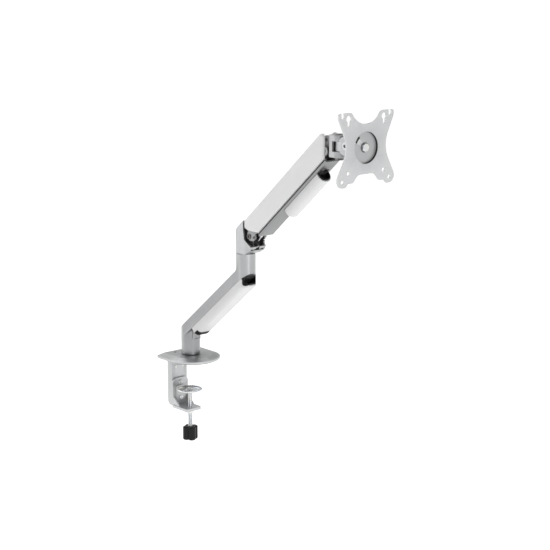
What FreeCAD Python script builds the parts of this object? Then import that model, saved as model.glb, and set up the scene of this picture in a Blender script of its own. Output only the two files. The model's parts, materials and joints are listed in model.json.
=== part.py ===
"""Desk-clamp monitor arm with one folding lower arm and one sprung, level-keeping upper arm.

Frame: millimetres, +Z up, +X the way the arm reaches, +Y to its left.  The origin is where the
swivel axis of the base meets the desk.  Every piece is a closed solid in its own STEP file.
"""

import FreeCAD, Part
import math
import os

Vector = FreeCAD.Vector
UP = Vector(0, 0, 1)
ACROSS = Vector(0, 1, 0)
FORWARD = Vector(1, 0, 0)

# ---- driving dimensions -------------------------------------------------------------------
ARM_HALF_WIDTH = 17.0          # castings and sleeves are 34 wide
RUNNING_GAP = 0.05             # radial clearance of a pin in its bore
FIXED_GAP = 0.02               # radial clearance of a pin held fast in its bore
BODY_GAP = 0.3                 # space between neighbouring faces that move apart

PAD_THICKNESS = 1.5
PLATE_TOP = 8.5                # top of the base plate
PLATE_HALF_WIDTH = 49.0
PLATE_BACK = -39.0
PLATE_CENTRE = 6.0             # centre of the rounded front
RIM_HEIGHT = 5.0
CROWN_HALF_WIDTH = 35.0        # flat top inside the bevel

SHAFT_RADIUS = 11.0            # both swivel posts
BUSH_RADIUS = 13.0
SLEEVE_FOOT = 10.0             # lower end of the lower arm's base sleeve
BASE_SHAFT_TOP = 48.0
STOP_SCREW_X = -25.0
STOP_SCREW_Y = -16.5
STOP_SCREW_RADIUS = 2.5

ELBOW_X = 157.5                # second swivel axis
SLEEVE_HEAD = 217.0            # upper end of the elbow sleeve
ELBOW_SHAFT_LOW = 191.0
ELBOW_BLEND = 38.0             # concave radius between the lower arm's top and the elbow sleeve
LOWER_SLOPE = 39.0             # degrees, lower arm
LOWER_TOP_AT_BASE = 65.2       # height of the lower arm's top line over the base axis
LOWER_CASTING_DEPTH = 18.0
LOWER_FULL_DEPTH = 34.4        # with the cable cover
LOWER_COVER_START = 19.0       # ends of the cable cover, along the arm
LOWER_COVER_END = 196.0
MOUTH_LENGTH = 11.0            # notch in the cover's underside at its lower end
MOUTH_TOP = -28.0

YOKE_FOOT = 218.0
LIFT_X = 181.0                 # main lift pivot
LIFT_Z = 250.0
LINK_RISE = 17.5               # levelling link pivots above the main pivots
UPPER_SLOPE = 41.0             # degrees, upper arm at rest
UPPER_LENGTH = 250.0           # between the two main pivots
COVER_TOP = 26.0               # above the pivot line
COVER_SEAM = -12.0             # lower edge of the top cover
FRAME_FLOOR = -17.2            # underside of the upper arm casting
COVER_WALL = 2.2
COVER_HEAD_END = 373.0
COVER_HEAD_TOP = 441.5

PIN_RADIUS = 4.0
SMALL_PIN_RADIUS = 3.0
SPRING_PIN_RADIUS = 2.0
OPEN_PIVOT_RADIUS = 3.3        # oversize hole at the levelling link's upper end

SPRING_FOOT_REACH = 14.0       # spring pivot below the lift pivot
SPRING_FOOT_ANGLE = -86.5      # degrees
SPRING_HEAD_ALONG = 200.0      # spring's upper eye along the arm
ROD_RADIUS = 3.0
TUBE_RADIUS = 7.8
TUBE_START = 112.0
FORK_FRONT = 11.0              # where the rod screws into its eye
ADJUSTER_LINE = -8.6           # tension screw, below the pivot line
CLIP_START = 103.0             # cable clip, along the upper arm
CLIP_END = 211.0
CLIP_HALF_WIDTH = 13.0
CLIP_DEPTH = 16.0

PAN_X = 390.5
PAN_RADIUS = 13.0
HEAD_LOW = 405.0
HEAD_HIGH = 441.0
TONGUE_LOW = 415.3
TONGUE_HIGH = 430.7
TILT_X = 417.5
TILT_Z = 426.0
TILT_DISC_RADIUS = 15.0

FACE_X = 451.5                 # monitor mounting face
FACE_Z = 426.0
VESA_THICKNESS = 2.5
DISH_RADIUS = 25.0
DISH_DEPTH = 4.0
DISH_BACK = FACE_X - VESA_THICKNESS - DISH_DEPTH
MOUNT_HOLE_RADIUS = 3.3
KEYHOLE_HALF_WIDTH = 2.5
OPEN_SLOT_HALF_WIDTH = 2.8
KEYHOLE_RADIUS = 5.2
KEYHOLE_RISE = 9.3             # from the small pattern's hole up to the keyhole's round end
SMALL_PATTERN = 75.0
LARGE_PATTERN = 100.0

WEB_BACK = -38.0               # clamp bracket web
WEB_FRONT = -35.0
BRACKET_HALF_WIDTH = 17.0
BRACKET_LOW = -94.0
FOOT_TOP = -93.0               # clamp foot plate
FOOT_LOW = -98.0
FOOT_FRONT = 8.0
LOWER_BRACKET_SCREWS = ((-52.0, 3.0), (-80.5, 4.0))
SPINDLE_X = -4.0
SPINDLE_RADIUS = 4.0
DISC_Z = -61.5
DISC_RADIUS = 22.5
KNOB_TOP = -129.0
KNOB_HEIGHT = 25.0
KNOB_LOBE_RADIUS = 7.0
KNOB_TURN = 75.0               # degrees, where the first lobe points


# ---- shape helpers ------------------------------------------------------------------------
def upright(radius, x, low, high):
    """Vertical cylinder on the middle plane."""
    return rod(radius, (x, 0, low), (x, 0, high))


def cross_bore(radius, x, z, half_length):
    """Cylinder along Y through the middle plane."""
    return rod(radius, (x, -half_length, z), (x, half_length, z))


def block(x, y, z):
    """Box between the low and high values of x, y and z."""
    return Part.makeBox(x[1] - x[0], y[1] - y[0], z[1] - z[0], Vector(x[0], y[0], z[0]))


def rod(radius, start, end):
    """Cylinder from one point to another."""
    start = Vector(*start)
    run = Vector(*end) - start
    return Part.makeCylinder(radius, run.Length, start, run)


def ring(outer, inner, start, end):
    return rod(outer, start, end).cut(rod(inner, start, end))


def joined(*shapes):
    """One solid made of overlapping shapes."""
    return shapes[0].fuse(list(shapes[1:])).removeSplitter()


def rounded_wire(corners, place):
    """Closed wire through (a, b) or (a, b, radius) corners; place turns a, b into a point."""
    flat = [(c[0], c[1], c[2] if len(c) > 2 else 0.0) for c in corners]
    ends = []
    for i, (a, b, radius) in enumerate(flat):
        here = Vector(a, b, 0)
        before = (Vector(*flat[i - 1][:2], 0) - here).normalize()
        after = (Vector(*flat[(i + 1) % len(flat)][:2], 0) - here).normalize()
        if radius == 0:
            ends.append((here, None, here))
            continue
        half = before.getAngle(after) / 2
        middle = (before + after).normalize()
        reach = radius / math.tan(half)
        ends.append((here + before * reach,
                     here + middle * (radius / math.sin(half) - radius),
                     here + after * reach))
    edges = []
    for i, (first, middle, last) in enumerate(ends):
        if middle is not None:
            edges.append(Part.Arc(place(first), place(middle), place(last)).toShape())
        following = ends[(i + 1) % len(ends)][0]
        if (following - last).Length > 1e-6:
            edges.append(Part.LineSegment(place(last), place(following)).toShape())
    return Part.Wire(edges)


def side_plate(corners, y_low, y_high):
    """Outline in X and Z, as thick as y_low to y_high."""
    wire = rounded_wire(corners, lambda p: Vector(p.x, y_low, p.y))
    return Part.Face(wire).extrude(ACROSS * (y_high - y_low))


def section_bar(corners, x_low, x_high):
    """Outline in Y and Z, as long as x_low to x_high."""
    wire = rounded_wire(corners, lambda p: Vector(x_low, p.x, p.y))
    return Part.Face(wire).extrude(FORWARD * (x_high - x_low))


def both_sides(shape):
    """The shape with its mirror image across the arm's middle plane, as two solids."""
    return Part.Compound([shape, shape.mirror(Vector(0, 0, 0), ACROSS)])


def mirrored_join(shape):
    return shape.fuse(shape.mirror(Vector(0, 0, 0), ACROSS))


def rounded(shape, radius, chosen):
    """Fillet every edge for which chosen(edge) is true."""
    return shape.makeFillet(radius, [e for e in shape.Edges if chosen(e)])


def hexagon_socket(depth, across, start, direction):
    """Six-sided prism to cut a key socket or to make a nut."""
    direction = Vector(*direction)
    turn = FreeCAD.Rotation(UP, direction)
    radius = across / math.sqrt(3)
    points = [Vector(radius * math.cos(math.radians(60 * i)), radius * math.sin(math.radians(60 * i)), 0)
              for i in range(6)]
    wire = Part.makePolygon([Vector(*start) + turn.multVec(p) for p in points + points[:1]])
    return Part.Face(wire).extrude(direction * depth)


def at_slope(shape, slope, x, z):
    """Turns a shape built along +X so that it climbs at the slope from the point x, z."""
    moved = shape.copy()
    moved.Placement = FreeCAD.Placement(Vector(x, 0, z), FreeCAD.Rotation(ACROSS, -slope))
    return moved


def on_lower_arm(shape):
    """From the lower arm's own frame: origin on its top line over the base axis."""
    return at_slope(shape, LOWER_SLOPE, 0, LOWER_TOP_AT_BASE)


def on_upper_arm(shape):
    """From the upper arm's own frame: origin at the main lift pivot."""
    return at_slope(shape, UPPER_SLOPE, LIFT_X, LIFT_Z)


def upper_arm_point(along, above):
    """World x and z of a point given in the upper arm's frame."""
    slope = math.radians(UPPER_SLOPE)
    return (LIFT_X + along * math.cos(slope) - above * math.sin(slope),
            LIFT_Z + along * math.sin(slope) + above * math.cos(slope))


HEAD_X, HEAD_Z = upper_arm_point(UPPER_LENGTH, 0)
SPRING_X = LIFT_X + SPRING_FOOT_REACH * math.cos(math.radians(SPRING_FOOT_ANGLE))
SPRING_Z = LIFT_Z + SPRING_FOOT_REACH * math.sin(math.radians(SPRING_FOOT_ANGLE))


# ---- base ---------------------------------------------------------------------------------
def base_outline(half_width, back, corner):
    """D shape: straight back and sides, round front."""
    return [(back, -half_width, corner), (PLATE_CENTRE + half_width, -half_width, half_width - 0.01),
            (PLATE_CENTRE + half_width, half_width, half_width - 0.01), (back, half_width, corner)]


def outline_wire(half_width, back, corner, z):
    return rounded_wire(base_outline(half_width, back, corner), lambda p: Vector(p.x, p.y, z))


def bracket_flange(grow):
    """The clamp bracket's horizontal flange, or the pocket for it."""
    return block((WEB_BACK - 12, 22 + grow), (-BRACKET_HALF_WIDTH - grow, BRACKET_HALF_WIDTH + grow),
                 (PAD_THICKNESS - 0.01, PAD_THICKNESS + 3 + grow))


def base_plate():
    rim = Part.Face(outline_wire(PLATE_HALF_WIDTH, PLATE_BACK, 5, PAD_THICKNESS))
    rim = rim.extrude(UP * (RIM_HEIGHT - PAD_THICKNESS))
    bevel = Part.makeLoft([outline_wire(PLATE_HALF_WIDTH, PLATE_BACK, 5, RIM_HEIGHT),
                           outline_wire(CROWN_HALF_WIDTH, PLATE_BACK + 3, 4, PLATE_TOP)], True, True)
    plate = joined(rim, bevel)
    plate = plate.cut([bracket_flange(0.1),
                       rod(SHAFT_RADIUS + FIXED_GAP, (0, 0, 6), (0, 0, PLATE_TOP + 1)),
                       rod(4.3, (0, 0, 0), (0, 0, PLATE_TOP)),
                       rod(STOP_SCREW_RADIUS + FIXED_GAP, (STOP_SCREW_X, STOP_SCREW_Y, 6),
                           (STOP_SCREW_X, STOP_SCREW_Y, PLATE_TOP + 1))])
    return plate.cut([rod(2.6, (x, y, 0), (x, y, 8)) for x, y in flange_screw_places()])


def flange_screw_places():
    return [(-20.0, -9.0), (-20.0, 9.0), (16.0, 0.0)]


def desk_pad():
    inset = PLATE_HALF_WIDTH - 3
    wire = rounded_wire([(WEB_FRONT + 0.5, -inset, 3), (PLATE_CENTRE + inset, -inset, inset - 0.01),
                         (PLATE_CENTRE + inset, inset, inset - 0.01), (WEB_FRONT + 0.5, inset, 3)],
                        lambda p: Vector(p.x, p.y, 0))
    return Part.Face(wire).extrude(UP * (PAD_THICKNESS - 0.02))


def base_shaft():
    shaft = rod(SHAFT_RADIUS, (0, 0, 6.02), (0, 0, BASE_SHAFT_TOP))
    shaft = shaft.makeChamfer(1, [e for e in shaft.Edges if e.BoundBox.ZMin > BASE_SHAFT_TOP - 0.1])
    return shaft.cut(rod(4.02, (0, 0, 0), (0, 0, 34)))


def base_shaft_screw():
    head = Part.makeCone(7.5, 4, 2.9, Vector(0, 0, PAD_THICKNESS + 0.05), UP)
    screw = joined(head, rod(4, (0, 0, PAD_THICKNESS + 0.05), (0, 0, 32)))
    return screw.cut(hexagon_socket(2, 5, (0, 0, PAD_THICKNESS), (0, 0, 1)))


def flange_screws():
    screws = []
    for x, y in flange_screw_places():
        head = Part.makeCone(4.6, 2.5, 2.0, Vector(x, y, PAD_THICKNESS + 0.05), UP)
        screws.append(joined(head, rod(2.5, (x, y, PAD_THICKNESS + 0.05), (x, y, 7.9))))
    return Part.Compound(screws)


def stop_screw():
    """Limits the first swivel; its socket shows in the plate behind the post."""
    x, y = STOP_SCREW_X, STOP_SCREW_Y
    screw = rod(STOP_SCREW_RADIUS, (x, y, 6.05), (x, y, PLATE_TOP + 0.2))
    return screw.cut(hexagon_socket(2, 2.5, (x, y, PLATE_TOP - 1.4), (0, 0, 1)))


def swivel_bush(x, low, high, flange_low):
    """Flanged plastic liner between a swivel post and its sleeve."""
    liner = rod(BUSH_RADIUS, (x, 0, low), (x, 0, high))
    flange = rod(15.5, (x, 0, flange_low), (x, 0, flange_low + 0.7))
    return joined(liner, flange).cut(rod(SHAFT_RADIUS + RUNNING_GAP, (x, 0, low - 1), (x, 0, high + 1)))


# ---- desk clamp ---------------------------------------------------------------------------
def upper_bracket():
    """Flange under the base plate, web down the desk's edge, and two stiffening sides."""
    half = BRACKET_HALF_WIDTH
    web = block((WEB_BACK, WEB_FRONT), (-half, half), (BRACKET_LOW, PAD_THICKNESS + 3))
    flange = block((WEB_BACK, 22), (-half, half), (PAD_THICKNESS + 0.02, PAD_THICKNESS + 3))
    flange = rounded(flange, 6, lambda e: e.BoundBox.XMin > 21.9 and e.BoundBox.ZLength > 2)
    side = side_plate([(WEB_BACK - 10, -2, 4), (WEB_FRONT, -2), (WEB_FRONT, BRACKET_LOW),
                       (WEB_BACK - 10, BRACKET_LOW, 8)], -half, -half + 2.5)
    bracket = joined(web, flange, side, side.mirror(Vector(0, 0, 0), ACROSS))
    holes = [rod(2.5 + FIXED_GAP, (WEB_BACK - 1, 0, z), (WEB_FRONT + 1, 0, z))
             for z, seat in LOWER_BRACKET_SCREWS]
    holes += [rod(1.5 + FIXED_GAP, (WEB_BACK - 1, y, -22), (WEB_FRONT + 1, y, -22)) for y in (-8, 8)]
    for x, y in flange_screw_places():
        holes.append(Part.makeCone(4.75, 2.65, 2.0, Vector(x, y, PAD_THICKNESS + 0.02), UP))
        holes.append(rod(2.65, (x, y, 0), (x, y, 6)))
    holes.append(Part.makeCone(7.7, 4.2, 2.9, Vector(0, 0, PAD_THICKNESS + 0.02), UP))
    holes.append(rod(4.2, (0, 0, 0), (0, 0, 6)))
    return bracket.cut(holes)


def lower_bracket():
    """Bolted to the web, with a raised panel, rounded top corners and the threaded foot plate."""
    half = BRACKET_HALF_WIDTH
    face = section_bar([(-half, FOOT_LOW), (half, FOOT_LOW), (half, -43, 8), (-half, -43, 8)],
                       WEB_FRONT + 0.02, WEB_FRONT + 3)
    panel = section_bar([(-11, -86, 5), (11, -86, 5), (11, -57, 5), (-11, -57, 5)],
                        WEB_FRONT + 2.9, WEB_FRONT + 4)
    foot = block((WEB_FRONT + 0.02, FOOT_FRONT), (-half, half), (FOOT_LOW, FOOT_TOP))
    foot = rounded(foot, 3, lambda e: e.BoundBox.XMin > FOOT_FRONT - 0.1 and e.BoundBox.ZLength > 4)
    gusset = side_plate([(WEB_FRONT + 2, FOOT_TOP + 1), (WEB_FRONT + 2, -78), (WEB_FRONT + 5, -78, 3),
                         (-14, FOOT_TOP + 1)], -half, -half + 2.5)
    bracket = joined(face, panel, foot, gusset, gusset.mirror(Vector(0, 0, 0), ACROSS))
    holes = [rod(2.5 + FIXED_GAP, (WEB_BACK, 0, z), (WEB_FRONT + 6, 0, z)) for z, seat in LOWER_BRACKET_SCREWS]
    holes.append(upright(SPINDLE_RADIUS + RUNNING_GAP, SPINDLE_X, FOOT_LOW - 1, FOOT_TOP + 1))
    return bracket.cut(holes)


def foot_nut():
    """Flanged thread insert under the foot plate."""
    nut = joined(rod(7.5, (SPINDLE_X, 0, FOOT_LOW - 0.02), (SPINDLE_X, 0, FOOT_LOW - 1.2)),
                 hexagon_socket(5, 12, (SPINDLE_X, 0, FOOT_LOW - 5.8), (0, 0, 1)))
    return nut.cut(upright(SPINDLE_RADIUS + RUNNING_GAP, SPINDLE_X, FOOT_LOW - 8, FOOT_LOW))


def pan_head_screw(radius, x_tip, x_face, y, z, head_radius, head_height):
    """Screw along X with a domed head in front of x_face."""
    shank = rod(radius, (x_tip, y, z), (x_face, y, z))
    head = rod(head_radius, (x_face, y, z), (x_face + head_height, y, z))
    head = head.makeFillet(head_height * 0.6, [e for e in head.Edges if e.BoundBox.XMin > x_face + 0.1])
    screw = joined(shank, head)
    return screw.cut(hexagon_socket(head_height, radius, (x_face + head_height * 0.4, y, z), (1, 0, 0)))


def bracket_screws():
    tip = WEB_BACK - 3
    return Part.Compound([pan_head_screw(2.5, tip, WEB_FRONT + seat + FIXED_GAP, 0, z, 4.2, 1.8)
                          for z, seat in LOWER_BRACKET_SCREWS])


def edge_screws():
    return Part.Compound([pan_head_screw(1.5, WEB_BACK, WEB_FRONT + 0.03, y, -22, 2.6, 1.0)
                          for y in (-8, 8)])


def spindle():
    low = (SPINDLE_X, 0, KNOB_TOP - 12)
    screw = rod(SPINDLE_RADIUS, low, (SPINDLE_X, 0, DISC_Z - 3.4))
    return joined(screw, rod(2.5, (SPINDLE_X, 0, DISC_Z - 4), (SPINDLE_X, 0, DISC_Z + 1.4)))


def knob():
    """Four-lobed grip, pressed on the lower end of the screw."""
    lobes = []
    for i in range(4):
        angle = math.radians(KNOB_TURN + 90 * i)
        x = SPINDLE_X + KNOB_LOBE_RADIUS * math.cos(angle)
        y = KNOB_LOBE_RADIUS * math.sin(angle)
        lobes.append(rod(KNOB_LOBE_RADIUS, (x, y, KNOB_TOP - KNOB_HEIGHT), (x, y, KNOB_TOP)))
    grip = joined(*lobes)
    grip = rounded(grip, 2.5, lambda e: e.BoundBox.ZLength < 0.1)
    return grip.cut(upright(SPINDLE_RADIUS + FIXED_GAP, SPINDLE_X, KNOB_TOP - 12.1, KNOB_TOP + 1))


def clamp_disc():
    """Dished plate with a raised rim and three pressed holes, carried on the screw's tip."""
    r = DISC_RADIUS
    points = [(2.5 + RUNNING_GAP, -3.0), (7, -3.0, 1.0), (9, -1.0, 1.5), (r - 3, -1.0, 1.5), (r, 1.0, 0.8),
              (r, 3.0, 0.5), (r - 1.6, 3.0, 0.5), (r - 3.5, 0.8, 1.0), (8.5, 0.8, 1.5), (6.5, -1.2, 1.0),
              (2.5 + RUNNING_GAP, -1.2)]
    wire = rounded_wire(points, lambda p: Vector(p.x, 0, p.y))
    disc = Part.Face(wire).revolve(Vector(0, 0, 0), UP, 360)
    disc.translate(Vector(SPINDLE_X, 0, DISC_Z))
    for i in range(3):
        a = math.radians(30 + 120 * i)
        x, y = SPINDLE_X + 13.5 * math.cos(a), 13.5 * math.sin(a)
        disc = disc.cut(rod(2.2, (x, y, DISC_Z - 2), (x, y, DISC_Z + 2)))
    return disc


def disc_retainer():
    """Clip that holds the turning screw's tip above the disc."""
    return ring(4.6, 2.5 + FIXED_GAP, (SPINDLE_X, 0, DISC_Z - 0.9), (SPINDLE_X, 0, DISC_Z + 0.6))


# ---- lower arm ----------------------------------------------------------------------------
def between_swivels(z_low, z_high, radius):
    """Upright slot-shaped solid around both swivel axes."""
    return joined(block((0, ELBOW_X), (-radius, radius), (z_low, z_high)),
                  rod(radius, (0, 0, z_low), (0, 0, z_high)),
                  rod(radius, (ELBOW_X, 0, z_low), (ELBOW_X, 0, z_high)))


def half_oval(reach, z):
    """Outline of the sleeve's back half at one height, as far back as the given reach."""
    middle = Vector(ELBOW_X, 0, z)
    oval = Part.Ellipse(Vector(ELBOW_X - reach, 0, z), Vector(ELBOW_X, ARM_HALF_WIDTH, z), middle)
    back = oval.toShape(math.radians(-90), math.radians(90))
    ends = sorted((v.Point for v in back.Vertexes), key=lambda point: point.y)
    return Part.Wire([back, Part.LineSegment(ends[1], ends[0]).toShape()])


def elbow_sleeve():
    """Upright sleeve whose back curves down into the arm's top line, by ovals that lengthen."""
    w = ARM_HALF_WIDTH
    turn = 90 - LOWER_SLOPE
    corner_z = LOWER_TOP_AT_BASE + (ELBOW_X - w) * math.tan(math.radians(LOWER_SLOPE))
    blend_top = corner_z + ELBOW_BLEND * math.tan(math.radians(turn / 2))
    steps = 6
    outlines = []
    for i in range(steps + 1):
        angle = math.radians(turn * i / steps)
        reach = w + 0.001 + ELBOW_BLEND * (1 - math.cos(angle))
        outlines.append(half_oval(reach, blend_top - ELBOW_BLEND * math.sin(angle)))
    blend = Part.makeLoft(outlines, True, False)
    back = Part.Face(outlines[0]).extrude(Vector(0, 0, SLEEVE_HEAD - blend_top))
    front = upright(w, ELBOW_X, 120, SLEEVE_HEAD).common(block((ELBOW_X, 200), (-20, 20), (100, 250)))
    return joined(front, back, blend)


def lower_arm():
    w = ARM_HALF_WIDTH
    above = on_lower_arm(block((-80, 300), (-60, 60), (0, 200)))
    below = on_lower_arm(block((-80, 300), (-60, 60), (-200, -LOWER_CASTING_DEPTH)))
    beam = on_lower_arm(block((-40, 240), (-w, w), (-LOWER_CASTING_DEPTH, 0)))
    beam = beam.common(between_swivels(0, 250, w))
    base_sleeve = rod(w, (0, 0, SLEEVE_FOOT), (0, 0, 120)).cut(above)
    arm = joined(beam, base_sleeve, elbow_sleeve().cut(below), cable_mouth_boss())
    channel = on_lower_arm(block((20, 170), (-14, 14), (-LOWER_CASTING_DEPTH - 1, -3.2)))
    channel = channel.cut(rod(w + 4.5, (0, 0, 0), (0, 0, 250)))
    bores = [upright(BUSH_RADIUS + FIXED_GAP, 0, 0, BASE_SHAFT_TOP + 2),
             upright(BUSH_RADIUS + FIXED_GAP, ELBOW_X, ELBOW_SHAFT_LOW - 1, SLEEVE_HEAD + 1)]
    return arm.cut([channel] + bores)


def cable_mouth_boss():
    """Lug in front of the base sleeve, seen in the cover's lower mouth."""
    boss = block((0, 21), (-8, 8), (39, 60))
    return rounded(boss, 3, lambda e: e.BoundBox.XMin > 20.9 and e.BoundBox.ZMin < 39.1)


def cover_section(half_width, bottom, top, corner):
    return [(-half_width, top), (half_width, top),
            (half_width, bottom, corner), (-half_width, bottom, corner)]


def lower_cable_cover():
    """Clip-on channel cover with rounded lower edges and open ends."""
    w = ARM_HALF_WIDTH
    seam = -LOWER_CASTING_DEPTH - BODY_GAP
    outer = section_bar(cover_section(w, -LOWER_FULL_DEPTH, seam, 9), LOWER_COVER_START, LOWER_COVER_END)
    inner = section_bar(cover_section(w - 2, -LOWER_FULL_DEPTH + 2, seam + 1, 7), 0, 220)
    mouth = block((0, LOWER_COVER_START + MOUTH_LENGTH), (-w - 1, w + 1), (-LOWER_FULL_DEPTH - 1, MOUTH_TOP))
    tabs = [block((x, x + 14), (-13.9, -12.4), (seam - 6, seam + 6)) for x in (50, 130)]
    tabs += [t.mirror(Vector(0, 0, 0), ACROSS) for t in tabs]
    ribs = [block((x, x + 14), (-15.5, -12.4), (seam - 6, seam - 4.5)) for x in (50, 130)]
    ribs += [r.mirror(Vector(0, 0, 0), ACROSS) for r in ribs]
    cover = joined(outer.cut([inner, mouth]), *tabs, *ribs)
    return on_lower_arm(cover).common(between_swivels(-20, 260, w))


def guard_tube(inset, wall, start, end):
    """Length of lining inside the cable cover, open towards the arm."""
    seam = -LOWER_CASTING_DEPTH - BODY_GAP
    half, corner = ARM_HALF_WIDTH - inset, 9 - inset
    outer = section_bar(cover_section(half, -LOWER_FULL_DEPTH + inset, seam, corner), start, end)
    inner = section_bar(cover_section(half - wall, -LOWER_FULL_DEPTH + inset + wall, seam + 1, corner - wall),
                        start - 1, end + 1)
    return outer.cut(inner)


def lower_cable_guide():
    """Dark edge guard in the cover's lower mouth, with a rim that fills the notch's thickness."""
    start = LOWER_COVER_START + BODY_GAP
    lining = guard_tube(2.1, 1.6, start, 38)
    rim = guard_tube(0, 3.7, start, LOWER_COVER_START + MOUTH_LENGTH - BODY_GAP)
    rim = rim.common(block((0, 60), (-20, 20), (-LOWER_FULL_DEPTH - 1, MOUTH_TOP - BODY_GAP)))
    return on_lower_arm(joined(lining, rim)).cut(upright(ARM_HALF_WIDTH + 0.6, 0, 0, 120))


def upper_cable_guide():
    """Dark rounded guard where cables leave the cover under the elbow."""
    lining = guard_tube(2.1, 1.6, 172, LOWER_COVER_END + 1)
    collar = guard_tube(0, 3.7, LOWER_COVER_END + BODY_GAP, 240)
    corner_z = LOWER_TOP_AT_BASE + (ELBOW_X + ARM_HALF_WIDTH) * math.tan(math.radians(LOWER_SLOPE))
    corner_z -= LOWER_FULL_DEPTH / math.cos(math.radians(LOWER_SLOPE))
    front = ELBOW_X + ARM_HALF_WIDTH
    silhouette = side_plate([(60, corner_z - (front - 60) * math.tan(math.radians(LOWER_SLOPE))),
                             (front, corner_z, 22), (front, 260), (60, 260)],
                            -ARM_HALF_WIDTH, ARM_HALF_WIDTH)
    guard = on_lower_arm(joined(lining, collar)).common(silhouette)
    return guard.common(between_swivels(-20, 260, ARM_HALF_WIDTH))


# ---- elbow yoke ---------------------------------------------------------------------------
def yoke_outline():
    """Side view of the yoke: round foot, sloped roof, low toe in front."""
    return [(130, YOKE_FOOT), (174.5, YOKE_FOOT, 6), (186.5, 225, 3), (191, 233, 1.5), (173.5, 243.5, 3),
            (170.6, 262), (170.6, 276.5), (130, 241.2)]


def yoke_plan(radius, front, z_low, z_high):
    return joined(rod(radius, (ELBOW_X, 0, z_low), (ELBOW_X, 0, z_high)),
                  block((ELBOW_X, front), (-radius, radius), (z_low, z_high)))


def elbow_yoke():
    w = ARM_HALF_WIDTH
    outer = side_plate(yoke_outline(), -w, w).common(yoke_plan(w, 200, 200, 290))
    hollow = side_plate([(130, 226), (188.3, 226), (189.5, 260), (175, 300), (158, 262), (130, 237)],
                        -13.5, 13.5)
    hollow = hollow.common(yoke_plan(13.5, 200, 200, 300))
    shell = outer.cut(hollow)
    cheek = side_plate([(150, 224), (186, 224), (188.2, 233), (189.8, 249, 4), (187.5, 274.5, 6.4),
                        (174.5, 274.5, 6.4), (172, 262, 4), (163, 256, 6), (158, 238, 4)], 5.4, 8.4)
    bridge = block((150, 163), (-8.4, 8.4), (224, 240))
    yoke = joined(shell, mirrored_join(cheek), bridge)
    holes = [rod(PIN_RADIUS + RUNNING_GAP, (LIFT_X, -9, LIFT_Z), (LIFT_X, 9, LIFT_Z)),
             cross_bore(SMALL_PIN_RADIUS + FIXED_GAP, LIFT_X, LIFT_Z + LINK_RISE, 9),
             rod(SPRING_PIN_RADIUS + FIXED_GAP, (SPRING_X, -9, SPRING_Z), (SPRING_X, 9, SPRING_Z)),
             rod(4.02, (ELBOW_X, 0, 200), (ELBOW_X, 0, 250)),
             rod(6.6, (ELBOW_X, 0, 231), (ELBOW_X, 0, 250)),
             block((183, 200), (-3.6, 3.6), (226.3, 250))]
    return yoke.cut(holes)


def elbow_shaft():
    shaft = rod(SHAFT_RADIUS, (ELBOW_X, 0, ELBOW_SHAFT_LOW), (ELBOW_X, 0, YOKE_FOOT - 0.02))
    shaft = shaft.makeChamfer(1, [e for e in shaft.Edges if e.BoundBox.ZMax < ELBOW_SHAFT_LOW + 0.1])
    return shaft.cut(rod(4.02, (ELBOW_X, 0, 196), (ELBOW_X, 0, 230)))


def elbow_shaft_screw():
    screw = joined(upright(4, ELBOW_X, 198, 231.05), upright(6.5, ELBOW_X, 231.05, 238))
    return screw.cut(hexagon_socket(4, 6, (ELBOW_X, 0, 235), (0, 0, 1)))


def cross_pin(radius, x, z, half_length, head_radius, head_height):
    """Pin across the arm with a flat head at each end, both with a key socket."""
    pin = rod(radius, (x, -half_length, z), (x, half_length, z))
    if head_radius > 0:
        near = rod(head_radius, (x, -half_length - head_height, z), (x, -half_length, z))
        near = near.cut(hexagon_socket(2, radius, (x, -half_length - head_height - 1, z), (0, 1, 0)))
        pin = joined(pin, near, near.mirror(Vector(0, 0, 0), ACROSS))
    return pin


def lift_washers():
    """Plastic washers between the arm's root plates and the yoke's inner plates."""
    return both_sides(ring(7.5, PIN_RADIUS + RUNNING_GAP, (LIFT_X, 8.45, LIFT_Z), (LIFT_X, 8.95, LIFT_Z)))


def pivot_guards():
    """Ribbed plastic guards on the front of the yoke's inner plates."""
    body = side_plate([(190.2, 233.6), (196, 233.6, 2), (198.5, 240, 2), (197, 250.5, 2), (190.2, 250.5)],
                      4.0, 8.4)
    grooves = [block((194.5, 200), (3.9, 8.5), (z, z + 1.3)) for z in (236.5, 240, 243.5, 247)]
    return both_sides(body.cut(grooves))


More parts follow.
